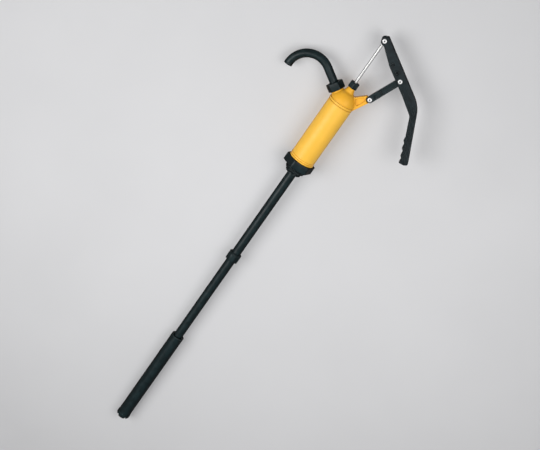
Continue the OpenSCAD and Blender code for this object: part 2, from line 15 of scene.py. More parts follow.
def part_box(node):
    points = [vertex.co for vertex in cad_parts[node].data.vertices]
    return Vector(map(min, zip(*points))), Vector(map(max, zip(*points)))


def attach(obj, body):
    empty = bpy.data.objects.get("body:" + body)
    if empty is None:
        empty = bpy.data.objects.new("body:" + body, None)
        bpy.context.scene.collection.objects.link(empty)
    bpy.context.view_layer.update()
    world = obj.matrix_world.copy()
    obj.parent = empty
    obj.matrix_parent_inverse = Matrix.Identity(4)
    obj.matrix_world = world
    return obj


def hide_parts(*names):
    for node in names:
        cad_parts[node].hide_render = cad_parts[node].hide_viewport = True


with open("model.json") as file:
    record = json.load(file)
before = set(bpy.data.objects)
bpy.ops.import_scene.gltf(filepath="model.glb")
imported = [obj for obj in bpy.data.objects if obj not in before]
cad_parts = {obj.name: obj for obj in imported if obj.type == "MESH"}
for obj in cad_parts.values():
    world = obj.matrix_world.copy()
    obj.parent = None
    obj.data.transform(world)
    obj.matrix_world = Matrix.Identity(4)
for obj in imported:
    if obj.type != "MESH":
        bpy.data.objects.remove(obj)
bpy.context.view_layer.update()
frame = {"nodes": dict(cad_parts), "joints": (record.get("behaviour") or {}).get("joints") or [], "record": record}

MM = 0.001
SEGMENTS = 144
ROUND_STEPS = 5
SHARP_DEG = 34
HERE = Matrix.Identity(4)
JOINTS = {joint["name"]: joint for joint in frame["joints"]}
SLOTS = {slot["slot"]: slot for slot in frame["record"]["materials"]}
MOUNTS = {mount["name"]: mount for mount in frame["record"]["mounts"]}
SLOT_OF = {part["node"]: part["material_slot"] for part in frame["record"]["subparts"]}


# ---- reading the CAD part ----


def box_mm(node):
    """The lowest and highest corner of a CAD node, in millimetres."""
    low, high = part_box(node)
    return low / MM, high / MM


def joint_at(name):
    """A joint's pivot, in millimetres."""
    return Vector(JOINTS[name]["pos_m"]) / MM


def frame_at(origin, axis):
    """A placement whose origin is a point and whose local +Z is an axis, with its local X in the XZ plane."""
    z = Vector(axis).normalized()
    x = Vector((0, 1, 0)).cross(z).normalized()
    y = z.cross(x)
    turn = Matrix((x, y, z)).transposed().to_4x4()
    return Matrix.Translation(origin) @ turn


# ---- outlines and skins ----


def rounded(corners, steps=ROUND_STEPS):
    """A closed outline from (x, y, radius) corners, each turned into an arc; a radius of 0 stays sharp."""
    outline = []
    for i, (x, y, radius) in enumerate(corners):
        corner = Vector((x, y))
        if radius == 0:
            outline.append(corner)
            continue
        before = (Vector(corners[i - 1][:2]) - corner).normalized()
        after = (Vector(corners[(i + 1) % len(corners)][:2]) - corner).normalized()
        half = math.acos(max(-1, min(1, before.dot(after)))) / 2
        centre = corner + (before + after).normalized() * (radius / math.sin(half))
        start = corner + before * (radius / math.tan(half)) - centre
        end = corner + after * (radius / math.tan(half)) - centre
        sweep = -start.angle_signed(end)
        for k in range(steps + 1):
            outline.append(centre + Matrix.Rotation(sweep * k / steps, 2) @ start)
    return outline


def circle(radius, z):
    """A loop about the Z axis."""
    return polar(lambda angle: radius, z)


def polar(radius_at, z):
    """A loop about the Z axis whose radius depends on the angle."""
    angles = [math.tau * k / SEGMENTS for k in range(SEGMENTS)]
    return [
        (radius_at(a) * math.cos(a), radius_at(a) * math.sin(a), z) for a in angles
    ]


def flats(sides, across, cut, z):
    """A loop round a regular polygon, by its width across flats, its corners turned down to radius cut."""
    half_side = math.pi / sides

    def radius_at(angle):
        off_flat = angle % (2 * half_side) - half_side
        return min(across / 2 / math.cos(off_flat), cut)

    return polar(radius_at, z)


def skin(loops, capped=False):
    """Vertices and faces over loops of equal length: a closed ring of loops, or a stack with capped ends."""
    count = len(loops[0])
    rows = len(loops)
    faces = []
    for i in range(rows - 1 if capped else rows):
        low = i * count
        high = (i + 1) % rows * count
        for k in range(count):
            after = (k + 1) % count
            faces.append((low + k, low + after, high + after, high + k))
    if capped:
        faces.append(tuple(reversed(range(count))))
        faces.append(tuple(range((rows - 1) * count, rows * count)))
    return [point for loop in loops for point in loop], faces


def turned(profile, capped=False):
    """A skin turned about Z from (radius, z) points: a closed section, or an open one with end caps."""
    return skin([circle(radius, z) for radius, z in profile], capped)


def slab(outline, y0, y1):
    """A skin with an outline in the XZ plane and flat faces at two values of y."""
    return skin([[(x, y, z) for x, z in outline] for y in (y0, y1)], capped=True)


def bar(x, z, radius, y0, y1):
    """A round bar along Y."""
    return slab([(x + radius * px, z + radius * pz) for px, pz, _ in circle(1, 0)], y0, y1)


def mesh_object(name, shape, place=HERE):
    """An object from a skin in millimetres, with outward normals."""
    points, faces = shape
    bm = bmesh.new()
    corners = [bm.verts.new((place @ Vector(p)) * MM) for p in points]
    for face in faces:
        bm.faces.new([corners[i] for i in face])
    bmesh.ops.recalc_face_normals(bm, faces=bm.faces)
    mesh = bpy.data.meshes.new(name)
    bm.to_mesh(mesh)
    bm.free()
    obj = bpy.data.objects.new(name, mesh)
    bpy.context.scene.collection.objects.link(obj)
    return obj


def apply_modifiers(obj):
    """Replaces an object's mesh with what its modifiers make of it."""
    graph = bpy.context.evaluated_depsgraph_get()
    mesh = bpy.data.meshes.new_from_object(obj.evaluated_get(graph))
    obj.modifiers.clear()
    obj.data = mesh


def discard(objects):
    """Removes helper objects."""
    for obj in objects:
        bpy.data.objects.remove(obj)


def combine(obj, others, operation):
    """Cuts others out of obj, or joins them to it, one after another."""
    for other in others:
        boolean = obj.modifiers.new(operation.lower(), "BOOLEAN")
        boolean.operation = operation
        boolean.solver = "EXACT"
        boolean.object = other
    apply_modifiers(obj)
    discard(others)


def carve(obj, *shapes):
    """Cuts (skin, placement) shapes out of an object."""
    cutters = [mesh_object("cutter", shape, place) for shape, place in shapes]
    combine(obj, cutters, "DIFFERENCE")


def cast(obj, voxel, passes):
    """Turns an object into one moulding with soft edges and fillets, by voxels of a size in millimetres."""
    remesh = obj.modifiers.new("remesh", "REMESH")
    remesh.mode = "VOXEL"
    remesh.voxel_size = voxel * MM
    smooth = obj.modifiers.new("smooth", "SMOOTH")
    smooth.factor = 0.5
    smooth.iterations = passes
    apply_modifiers(obj)


def shade(obj):
    """Smooth shading that keeps the edges above SHARP_DEG crisp."""
    obj.data.shade_smooth()
    obj.data.set_sharp_from_angle(angle=math.radians(SHARP_DEG))


def hand_over(obj, body, node, look=None):
    """Puts a finished piece on its body in place of a CAD node, with the node's material or another look."""
    slot = SLOT_OF[node]
    shade(obj)
    obj.data.materials.clear()
    obj.data.materials.append(MATERIALS[look or slot])
    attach(obj, body)
    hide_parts(node)


# ---- materials ----


class Nodes:
    """A material's node tree, with short ways to add and join nodes."""

    def __init__(self, name):
        self.material = bpy.data.materials.new(name)
        self.material.use_nodes = True
        self.tree = self.material.node_tree
        self.shader = self.tree.nodes["Principled BSDF"]
        self.output = self.tree.nodes["Material Output"]

    def add(self, kind, **values):
        """A node; values name its properties, or its inputs where it has no such property."""
        node = self.tree.nodes.new("ShaderNode" + kind)
        for key, value in values.items():
            if hasattr(node, key):
                setattr(node, key, value)
            else:
                self.feed(node.inputs[key.replace("_", " ")], value)
        return node

    def feed(self, socket, value):
        """Sets an input, or joins an output to it."""
        if isinstance(value, bpy.types.NodeSocket):
            self.tree.links.new(value, socket)
        else:
            socket.default_value = value

    def math(self, operation, first, second=0.0):
        node = self.add("Math", operation=operation)
        self.feed(node.inputs[0], first)
        self.feed(node.inputs[1], second)
        return node.outputs[0]

    def noise(self, scale, detail=3.0, stretch=(1, 1, 1)):
        """Noise over the object in metres; a stretch below 1 draws it out along that axis."""
        place = self.add("TexCoord").outputs["Object"]
        mapping = self.add("Mapping", Vector=place, Scale=stretch)
        return self.add("TexNoise", Vector=mapping.outputs[0], Scale=scale, Detail=detail).outputs[0]

    def span(self, value, low, high, to_low=0.0, to_high=1.0):
        """Maps a range of values to another."""
        node = self.add("MapRange", Value=value)
        for name, number in (("From Min", low), ("From Max", high), ("To Min", to_low), ("To Max", to_high)):
            node.inputs[name].default_value = number
        return node.outputs[0]

    def mix(self, share, first, second):
        node = self.add("Mix", data_type="RGBA")
        self.feed(node.inputs[0], share)
        self.feed(node.inputs[6], first)
        self.feed(node.inputs[7], second)
        return node.outputs[2]

    def dot(self, vector, direction, offset):
        """The part of a vector along a fixed direction, plus an offset."""
        node = self.add("VectorMath", operation="DOT_PRODUCT")
        self.feed(node.inputs[0], vector)
        self.feed(node.inputs[1], direction)
        return self.math("ADD", node.outputs["Value"], offset)

    def crevice_shade(self, distance):
        """How closely the surface is shut in within a distance, from 0 in the open to 1 in a groove; the materials
        paint shade with it.
        """
        groove_shade = self.add("AmbientOcclusion", samples=8, Distance=distance * MM).outputs["AO"]
        return self.span(groove_shade, 0.75, 0.3)

    def grazing(self, start, end):
        """Rises from 0 to 1 as the surface turns from facing the eye to edge-on."""
        return self.span(self.add("LayerWeight", Blend=0.5).outputs["Facing"], start, end)

    def edges(self, radius):
        """How strongly the surface turns within a radius, from 0 on flats towards 1 at edges."""
        soft = self.add("Bevel", samples=6, Radius=radius * MM)
        flat = self.add("NewGeometry").outputs["Normal"]
        turn = self.add("VectorMath", operation="DOT_PRODUCT")
        self.feed(turn.inputs[0], soft.outputs[0])
        self.feed(turn.inputs[1], flat)
        return self.span(turn.outputs["Value"], 0.995, 0.8)


def shade_of(colour, factor):
    """An RGBA colour, lighter or darker."""
    return (*[min(1.0, c * factor) for c in colour[:3]], 1.0)


def plastic(
    name, colour, shadow_colour, wear_and_highlight_colour, wear_and_highlight=0.3, roughness=0.5, grain=0.15,
    gloss_level=0.5, clouding=0.05, cloud_scale=28, rim=(0.66, 0.97),
):
    """Moulded plastic: faint flow clouding, a fine grain, uneven gloss, lighter edges, partly rubbed and partly
    painted highlight, and painted shade in grooves.

    Grooves, and sides turned away from the eye over the range rim, take the shadow colour as painted shade and
    lose gloss.
    """
    n = Nodes(name)
    cloud = n.span(n.noise(cloud_scale, 4), 0.35, 0.65)
    flow = n.span(n.noise(90, 2, (1, 1, 0.12)), 0.3, 0.7)
    base = n.mix(cloud, shade_of(colour, 1 - clouding), shade_of(colour, 1 + clouding))
    base = n.mix(n.math("MULTIPLY", flow, 0.5), base, shade_of(colour, 0.97))
    # Painted shade: sides turned away from the eye take the shadow colour.
    turned_away_shade = n.grazing(*rim)
    base = n.mix(n.math("MULTIPLY", turned_away_shade, 0.9), base, (*shadow_colour, 1.0))
    # Painted shade: grooves and crevices take the shadow colour and lose gloss.
    groove_shade = n.crevice_shade(4.0)
    base = n.mix(groove_shade, base, (*shadow_colour, 1.0))
    # Lighter edges: partly rubbed plastic and partly painted highlight.
    rubbed_and_highlit = n.math("MULTIPLY", n.edges(0.9), n.span(n.noise(260, 3), 0.42, 0.62, 0.25, 1.0))
    base = n.mix(n.math("MULTIPLY", rubbed_and_highlit, wear_and_highlight), base, (*wear_and_highlight_colour, 1.0))
    smudge = n.span(n.noise(60, 5), 0.3, 0.7, roughness - 0.05, roughness + 0.06)
    gloss = n.math("SUBTRACT", smudge, n.math("MULTIPLY", rubbed_and_highlit, 0.06))
    bump = n.add("Bump", Strength=grain, Distance=0.1 * MM, Height=n.noise(2600, 2))
    wave = n.add("Bump", Strength=0.25, Distance=0.3 * MM, Height=n.noise(70, 2))
    n.feed(bump.inputs["Normal"], wave.outputs[0])
    n.feed(wave.inputs["Normal"], n.add("Bevel", samples=4, Radius=0.4 * MM).outputs[0])
    n.feed(n.shader.inputs["Base Color"], base)
    n.feed(n.shader.inputs["Roughness"], gloss)
    n.feed(n.shader.inputs["Normal"], bump.outputs[0])
    gloss_fall = n.span(n.math("MAXIMUM", turned_away_shade, groove_shade), 0, 1, gloss_level, gloss_level * 0.1)
    n.feed(n.shader.inputs["Specular IOR Level"], gloss_fall)
    return n.material


def metal(name, colour, roughness, scratch, stretch, metallic, rim):
    """Polished or plated metal: fine scratches, faint dulling, brighter edges, and painted shade on turned-away
    sides and in crevices.
    """
    n = Nodes(name)
    lines = n.noise(900, 4, stretch)
    dull = n.span(n.noise(120, 4), 0.35, 0.7)
    base = n.mix(dull, shade_of(colour, 1.0), shade_of(colour, 0.86))
    base = n.mix(n.math("MULTIPLY", n.edges(0.5), 0.5), base, shade_of(colour, 1.15))
    # Painted shade: sides turned away from the eye and crevices darken towards black.
    base = n.mix(n.grazing(*rim), base, shade_of(colour, 0.12))
    base = n.mix(n.crevice_shade(4.0), base, shade_of(colour, 0.05))
    gloss = n.math("ADD", n.span(dull, 0, 1, roughness, roughness + 0.08), n.math("MULTIPLY", lines, 0.05))
    bump = n.add("Bump", Strength=scratch, Distance=0.05 * MM, Height=lines)
    n.feed(bump.inputs["Normal"], n.add("Bevel", samples=4, Radius=0.25 * MM).outputs[0])
    n.feed(n.shader.inputs["Base Color"], base)
    n.feed(n.shader.inputs["Metallic"], metallic)
    n.feed(n.shader.inputs["Roughness"], gloss)
    n.feed(n.shader.inputs["Normal"], bump.outputs[0])
    return n.material


def rubber(name, colour):
    """Moulded rubber: matt, with a dusty bloom that gathers in patches."""
    n = Nodes(name)
    bloom = n.span(n.noise(150, 5), 0.4, 0.75, 0.0, 0.35)
    base = n.mix(bloom, shade_of(colour, 1.0), shade_of(colour, 2.2))
    bump = n.add("Bump", Strength=0.3, Distance=0.1 * MM, Height=n.noise(1800, 3))
    n.feed(n.shader.inputs["Base Color"], base)
    n.feed(n.shader.inputs["Roughness"], n.span(bloom, 0, 0.35, 0.6, 0.8))
    n.feed(n.shader.inputs["Normal"], bump.outputs[0])
    return n.material


def slot_colour(slot):
    """The colour the record gives a material slot."""
    return SLOTS[slot]["base_color"]


ALONG_Z = (1, 1, 0.02)
EVEN = (1, 1, 1)
YELLOW_SHADOW = (0.48, 0.2, 0.006)
MATERIALS = {
    "yellow_plastic": plastic(
        "yellow_plastic", (0.93, 0.52, 0.055), YELLOW_SHADOW, wear_and_highlight_colour=(0.98, 0.66, 0.18),
        wear_and_highlight=0.35, roughness=0.46, grain=0.1, gloss_level=0.4, clouding=0.03,
    ),
    # A darker copy of the yellow plastic with a wider rim range: painted shade on the dome, which turns away from
    # the light.
    "shaded_head_plastic": plastic(
        "shaded_head_plastic", (0.87, 0.435, 0.026), YELLOW_SHADOW, wear_and_highlight_colour=(0.95, 0.56, 0.09),
        grain=0.1, gloss_level=0.35, clouding=0.04, rim=(0.6, 0.9),
    ),
    "black_plastic": plastic(
        "black_plastic", (0.0075, 0.0165, 0.0185), (0.0, 0.0005, 0.0005), wear_and_highlight_colour=(0.15, 0.18, 0.19),
        wear_and_highlight=0.9, roughness=0.36, grain=0.16, gloss_level=0.22, clouding=0.4, cloud_scale=70,
        rim=(0.15, 0.62),
    ),
    "lever_plastic": plastic(
        "lever_plastic", (0.0078, 0.0145, 0.017), (0.0, 0.0003, 0.0003), wear_and_highlight_colour=(0.34, 0.38, 0.39),
        wear_and_highlight=0.35, roughness=0.4, grain=0.16, gloss_level=0.2, clouding=0.45, cloud_scale=70,
        rim=(0.15, 0.6),
    ),
    "inner_plastic": plastic(
        "inner_plastic", slot_colour("inner_plastic"), (0.02, 0.02, 0.02), wear_and_highlight_colour=(0.4, 0.42, 0.43)
    ),
    "bearing_plastic": plastic(
        "bearing_plastic", slot_colour("bearing_plastic"), (0.3, 0.29, 0.26), wear_and_highlight_colour=(0.9, 0.9, 0.88),
        wear_and_highlight=0.2, roughness=0.3, grain=0.08,
    ),
    "rod_steel": metal("rod_steel", (0.66, 0.66, 0.65), 0.28, 0.08, ALONG_Z, metallic=0.45, rim=(0.15, 0.6)),
    "pin_steel": metal("pin_steel", (0.84, 0.84, 0.84), 0.3, 0.15, EVEN, metallic=0.3, rim=(0.3, 0.8)),
    "seal_rubber": rubber("seal_rubber", slot_colour("seal_rubber")),
}


# ---- barrel, base and suction tube ----

WALL_R = box_mm("barrel")[1].x - 0.9
TUBE_R = box_mm("upper_tube")[1].x
SLIP = 0.05
HEXAGON_TURN = math.radians(13)


def make_barrel():
    """The barrel: a smooth tube with a bead and a fine step at its foot, and a neck inside the head."""
    low, high = box_mm("barrel")
    neck_r = WALL_R - 1.9
    bore_r = 32.5
    groove_r = WALL_R - 1.2
    cup_top = box_mm("base_cap")[1].z
    seam_z = box_mm("head")[0].z - 2.6
    step_r = WALL_R + 0.3
    bead = [(high.x, 0.3, 0.7), (high.x, 3.6, 0.9), (groove_r, 4.6, 0.2), (groove_r, 5.6, 0.2)]
    step = [(step_r, 6.5, 0.3), (step_r, 9.4, 0.3), (groove_r, 10.3, 0.2), (groove_r, 11.2, 0.2)]
    profile = rounded([
        (bore_r, low.z, 0.5), (WALL_R, low.z, 0.8), (WALL_R, cup_top + 0.3, 0.2),
        *[(radius, cup_top + rise, arc) for radius, rise, arc in bead + step],
        (WALL_R, cup_top + 12.2, 0.3), (WALL_R, seam_z, 0.5), (neck_r, seam_z, 0.1),
        (neck_r, high.z, 0.5), (bore_r, high.z, 0.5),
    ])
    hand_over(mesh_object("barrel_tube", turned(profile)), "root", "barrel")


def nut_loops(sides, across, trim, z0, z1, chamfer):
    """The outside loops of a nut from its underside up, with rims rounded and corners trimmed by a depth."""
    corner_r = across / 2 / math.cos(math.pi / sides) - trim
    rim = [(1 - math.sin(a), 1 - math.cos(a)) for a in (0, math.pi / 6, math.pi / 3, math.pi / 2)]
    levels = [(inset, z0 + rise * chamfer) for inset, rise in rim]
    levels += [(inset, z1 - rise * chamfer) for inset, rise in reversed(rim)]
    return [flats(sides, across - 2 * i * chamfer, corner_r - i * chamfer, z) for i, z in levels]


def thread_loops(radius, z0, z1, pitch, depth):
    """The outside loops of a pipe thread from z0 up to z1, fading out at both ends."""
    rows_a_turn = 10

    def loop(z):
        fade = min(1, (z - z0) / pitch, (z1 - z) / pitch)

        def radius_at(angle):
            crest = 0.5 + 0.5 * math.cos(math.tau * z / pitch - angle)
            return radius - depth * (1 - crest * fade)

        return polar(radius_at, z)

    rows = round((z1 - z0) / pitch * rows_a_turn)
    return [loop(z0 + (z1 - z0) * k / rows) for k in range(rows + 1)]


def make_base_cap():
    """The base: a hexagonal cup round the foot of the barrel, and the two pipe threads below it."""
    top_z = box_mm("base_cap")[1].z
    small = MOUNTS["small_bung_thread"]["dims"]
    large = MOUNTS["drum_thread"]["dims"]
    large_z = -large["length_mm"]
    small_z = large_z - small["length_mm"]
    across = 79.3
    floor_z = 6
    pocket_r = 26
    shelf_z = -4
    socket_z = -7
    pitch = 2.309
    depth = 1.479
    loops = nut_loops(6, across, 0.9, 0, top_z, 1.2)
    cup = rounded([
        (WALL_R + 0.75, top_z, 0), (WALL_R + SLIP, top_z - 0.7, 0.2), (WALL_R + SLIP, floor_z, 0.3),
        (pocket_r, floor_z, 0.3), (pocket_r, 0, 0),
    ])
    loops += [circle(r, z) for r, z in cup]
    turn = Matrix.Rotation(HEXAGON_TURN, 4, "Z")
    hand_over(mesh_object("base_hexagon", skin(loops), turn), "root", "base_cap")
    inside = [
        (pocket_r, 0), (pocket_r, shelf_z), (TUBE_R - 2.7, shelf_z), (TUBE_R - 2.7, socket_z),
        (TUBE_R + SLIP, socket_z), (TUBE_R + SLIP, small_z),
    ]
    loops = thread_loops(small["r_mm"], small_z, large_z, pitch, depth)
    loops += thread_loops(large["r_mm"], large_z + 0.01, 0, pitch, depth)
    loops += [circle(r, z) for r, z in inside]
    hand_over(mesh_object("drum_threads", skin(loops)), "root", "base_cap")


def make_coupling():
    """The octagonal coupling between the suction tubes, with a round shoulder at its top."""
    low, high = box_mm("tube_coupling")
    flat_r = high.x
    shoulder_z = high.z - 3
    loops = nut_loops(8, 2 * flat_r, 0.5, low.z, shoulder_z, 0.8)
    loops += [circle(r, z) for r, z in rounded([
        (flat_r - 1.2, shoulder_z, 0), (flat_r - 1.2, shoulder_z + 1.3, 0.5), (TUBE_R + 1.2, high.z, 0.4),
        (TUBE_R + SLIP, high.z, 0.2), (TUBE_R + SLIP, low.z, 0),
    ])]
    turn = Matrix.Rotation(math.pi / 8, 4, "Z")
    hand_over(mesh_object("coupling_nut", skin(loops), turn), "root", "tube_coupling")


def make_sleeve_collar():
    """The bush at the top of the sleeve: a rounded lip outside and a spigot inside."""
    low, high = box_mm("sleeve_bush")
    sleeve_in = box_mm("sleeve")[1].x - 2.6
    lip_z = high.z - 2.2
    profile = rounded([
        (TUBE_R + SLIP, low.z, 0.3), (sleeve_in - SLIP, low.z, 0.5), (sleeve_in - SLIP, lip_z + 0.5, 0.2),
        (high.x - 1.2, lip_z + 0.5, 0.1), (high.x - 0.2, lip_z + 0.1, 0.2), (high.x, lip_z + 0.6, 0.3),
        (high.x, high.z, 1.1), (TUBE_R + SLIP, high.z, 0.6),
    ])
    hand_over(mesh_object("sleeve_collar", turned(profile)), "sleeve", "sleeve_bush")


# ---- head, spout and nuts ----

PORT = frame_at(joint_at("spout_swivel"), JOINTS["spout_swivel"]["axis"])
PORT_TILT = math.acos(JOINTS["spout_swivel"]["axis"][2])
BRACKET_PIN = joint_at("link_pivot")
DOME_Z = box_mm("head")[0].z + 6.2
PORT_R = 18
PORT_H = 10.5
SPOUT_R = 12
SPOUT_IN = 9.5
PIN_BORE_R = 3.05


def make_head_collar():
    """The ring that closes the head on the barrel, with the groove under the dome."""
    z = box_mm("head")[0].z
    profile = rounded([
        (WALL_R - 2.3, z, 0.2), (WALL_R + 0.8, z, 0.6), (WALL_R + 0.8, z + 4.9, 0.7),
        (WALL_R - 1.6, z + 4.9, 0.2), (WALL_R - 1.6, DOME_Z + 0.9, 0), (WALL_R - 2.3, DOME_Z + 0.9, 0),
    ])
    hand_over(mesh_object("head_collar", turned(profile)), "root", "head")


def bracket_arm():
    """The arm that carries the link: a thin web between two ribs, with a round lug at its end."""
    lug_r = 6.6
    fork_r = 11
    half = 9
    web = 4.5
    pin = Vector((BRACKET_PIN.x, BRACKET_PIN.z))
    angles = [math.radians(d) for d in range(-23, 143, 15)]
    lug = [pin + lug_r * Vector((math.cos(a), math.sin(a))) for a in angles]
    outline = [(12, 249.5), (27, 222), (36, 221), *lug, (44.4, 279.6)]
    panel = rounded([(25, 255, 3), (43, 273, 3), (50, 266, 3), (38, 238, 4)])
    arm = mesh_object("arm", slab(outline, -half, half))
    cuts = []
    for y0, y1 in ((-half - 3, -web), (web, half + 3)):
        cuts.append((slab(panel, y0, y1), HERE))
        cuts.append((bar(pin.x, pin.y, fork_r, y0, y1), HERE))
    carve(arm, *cuts)
    return arm


def dome_arc(radius, degrees):
    """Points on a sphere of a radius about the dome's centre, by their elevations."""
    angles = [math.radians(d) for d in degrees]
    return [(radius * math.cos(a), DOME_Z + radius * math.sin(a)) for a in angles]


def dome_profile():
    """The dome, rising through a fillet into the cone under the gland nut."""
    rim = (WALL_R, DOME_Z + 0.8)
    cone = [(14.05, DOME_Z + 33.9, 7), (9, 276, 0.4), (8.8, 276.4, 0), (8.8, 287, 0)]
    return rounded([(r, z, 0) for r, z in [rim, *dome_arc(WALL_R, range(3, 55, 3))]] + cone)


def make_head_dome():
    """The dome with its cone, spout port and bracket arm, cast as one moulding and then hollowed."""
    dome = mesh_object("head_dome", turned(dome_profile(), capped=True))
    port = mesh_object("port", turned([(PORT_R, -8), (PORT_R, PORT_H)], capped=True), PORT)
    combine(dome, [port, bracket_arm()], "UNION")
    cast(dome, 0.7, 5)
    hollow_r = WALL_R - 4.25
    hollow = [(34.4, DOME_Z - 3), (34.4, DOME_Z + 3.9), (hollow_r, DOME_Z + 3.9)]
    hollow += dome_arc(hollow_r, range(16, 73, 8))
    hollow += [(7.05, DOME_Z + 32), (7.05, 273.7), (4.25, 273.7), (4.25, 280), (6.55, 280), (6.55, 290)]
    carve(
        dome,
        (turned(hollow, capped=True), HERE),
        (turned([(SPOUT_IN, -14), (SPOUT_IN, PORT_H + 1)], capped=True), PORT),
        (bar(BRACKET_PIN.x, BRACKET_PIN.z, PIN_BORE_R, -12, 12), HERE),
    )
    # The dome takes the darker copy of the yellow plastic, with painted shade.
    hand_over(dome, "root", "head", "shaded_head_plastic")


def make_gland_nut():
    """The nut that presses the packing round the rod."""
    low, high = box_mm("gland_nut")
    across = high.x - low.x
    seat_z = 287.1
    skirt = 2.6
    loops = nut_loops(6, across, 0.4, low.z - skirt, high.z, 1.1)
    loops += [circle(r, z) for r, z in rounded([
        (8.6, high.z, 0), (7.4, high.z - 0.8, 0.4), (4.25, high.z - 0.8, 0.2), (4.25, seat_z, 0),
        (8.85, seat_z, 0), (8.85, low.z + 0.6, 0), (10.6, low.z - skirt, 0),
    ])]
    turn = Matrix.Rotation(math.pi / 6, 4, "Z")
    hand_over(mesh_object("gland_hexagon", skin(loops), turn), "gland_nut", "gland_nut")


def make_spout_nut():
    """The nut that holds the spout's flange on the port."""
    across = 43
    z0 = -0.6
    z1 = 21.7
    seat_z = 15.45
    loops = nut_loops(6, across, 0.5, z0, z1, 1.1)
    loops += [circle(r, z) for r, z in rounded([
        (SPOUT_R + 4.4, z1, 0), (SPOUT_R + 3.4, z1 - 1.0, 0.5), (SPOUT_R + 0.25, z1 - 1.0, 0.3),
        (SPOUT_R + 0.25, seat_z, 0), (PORT_R + SLIP, seat_z, 0), (PORT_R + SLIP, z0, 0),
    ])]
    hand_over(mesh_object("spout_hexagon", skin(loops), PORT), "spout_nut", "spout_nut")


def spout_stations():
    """Points and directions along the spout in the port's frame, from its flange to its mouth."""
    straight = 66.3
    bend_r = 61.7
    bend_steps = 48
    mouth = 4.5
    flange_z = PORT_H + 1.5
    turn = math.pi - PORT_TILT
    stations = [(Vector((0, 0, z)), 0.0) for z in (flange_z, flange_z + 3.3, flange_z + 3.35, straight)]
    for k in range(1, bend_steps + 1):
        a = turn * k / bend_steps
        stations.append((Vector((bend_r * (math.cos(a) - 1), 0, straight + bend_r * math.sin(a))), a))
    end, a = stations[-1]
    along = Vector((-math.sin(a), 0, math.cos(a)))
    stations += [(end + along * d, a) for d in (0.6, mouth - 0.7, mouth - 0.2, mouth)]
    return stations


def spout_loop(point, angle, radius, line):
    """A loop round the spout; line is the height of the moulding line along its two sides."""
    line_width = 0.045

    def radius_at(a):
        off_line = abs(math.remainder(a, math.pi))
        return radius + line * math.exp(-((off_line / line_width) ** 2))

    turn = Matrix.Translation(point) @ Matrix.Rotation(-angle, 4, "Y")
    return [tuple(turn @ Vector(p)) for p in polar(radius_at, 0)]


def make_spout():
    """The gooseneck: flange, pipe with a fine moulding line, and a thicker rim round the mouth."""
    stations = spout_stations()
    flange_r = 17
    line_h = 0.2
    pipe_rows = len(stations) - 6
    rim = [SPOUT_R + 0.35, SPOUT_R + 0.35, SPOUT_R + 0.1, SPOUT_R - 0.6]
    outside = [flange_r] * 2 + [SPOUT_R] * pipe_rows + rim
    line = [0] * 2 + [line_h] * pipe_rows + [0] * len(rim)
    loops = [spout_loop(p, a, r, h) for (p, a), r, h in zip(stations, outside, line)]
    inside = [SPOUT_IN] * (len(stations) - 3) + [SPOUT_IN + 0.6] * 3
    loops += [spout_loop(p, a, r, 0) for (p, a), r in reversed(list(zip(stations, inside)))]
    hand_over(mesh_object("spout_gooseneck", skin(loops), PORT), "spout", "spout")


# ---- lever, link and rivets ----

ROD_PIN = joint_at("lever_pivot")
LEVER_PIN = sum(box_mm("lever_pin_rivet"), Vector()) / 2
CHEEK_Y = 11
LEVER_TOP = (3, 446.7)
LEVER_ELBOW = (176, 337.8)
GRIP_END = (248.17, 186.7)
GROOVE_AIM = (248.2, 186.7)


def way_angle(start, end):
    """The angle of the way from one point of the XZ plane to another."""
    return math.atan2(end[1] - start[1], end[0] - start[0])


TOP_ANGLE = way_angle(LEVER_TOP, LEVER_ELBOW)
GRIP_ANGLE = way_angle(LEVER_ELBOW, GROOVE_AIM)


def on_lever(along, across):
    """A point in the XZ plane by its distance along and across the lever's straight top, from the rod pin."""
    return (
        ROD_PIN.x + along * math.cos(TOP_ANGLE) - across * math.sin(TOP_ANGLE),
        ROD_PIN.z + along * math.sin(TOP_ANGLE) + across * math.cos(TOP_ANGLE),
    )


def inset(corners, distance):
    """The (x, y, radius) corners of a clockwise outline moved inwards, with their arcs kept parallel."""
    count = len(corners)
    points = [Vector(corner[:2]) for corner in corners]
    ways = [(points[(i + 1) % count] - points[i]).normalized() for i in range(count)]
    moved = []
    for i, point in enumerate(points):
        before = ways[i - 1]
        after = ways[i]
        inwards = Vector((before.y + after.y, -before.x - after.x)) / (1 + before.dot(after))
        convex = before.cross(after) < 0
        radius = max(corners[i][2] - distance, 0.3) if convex else corners[i][2] + distance
        moved.append((*(point + inwards * distance), radius))
    return moved


def lever_corners():
    """The side outline of the lever, clockwise: rod end, elbow, grip, finger ridges and neck."""
    rod_end = [(6.1, 418, 16), (-6.5, 420, 9), (-13.1, 438.4, 7), (*LEVER_TOP, 4)]
    grip = [(*LEVER_ELBOW, 90), (*GRIP_END, 5), (238, 180, 10), (222.5, 178.6, 3)]
    top_x = 197.8
    top_z = 237.9
    step_x = 8.8
    step_z = 19.75
    dip_x = 6.5
    dip_z = 6.3
    ridges = []
    for k in (2, 1, 0):
        x = top_x + step_x * k
        z = top_z - step_z * k
        ridges += [(x + dip_x, z - dip_z, 1.5), (x, z, 1.5)]
    neck = [(196.3, 248.6, 5), (172, 302.6, 16), (125.2, 335.2, 60), (50, 381.5, 60)]
    return rod_end + grip + ridges + neck


def cushion(corners, half, radius):
    """A slab between y = -half and y = half whose edges are rounded to a radius."""
    turns = [math.radians(15 * k) for k in range(7)]
    rim = [(radius * (1 - math.sin(a)), half - radius * (1 - math.cos(a))) for a in turns]
    levels = [(depth, -y) for depth, y in rim] + [(depth, y) for depth, y in reversed(rim)]
    return skin([[(x, y, z) for x, z in rounded(inset(corners, d), 7)] for d, y in levels], capped=True)


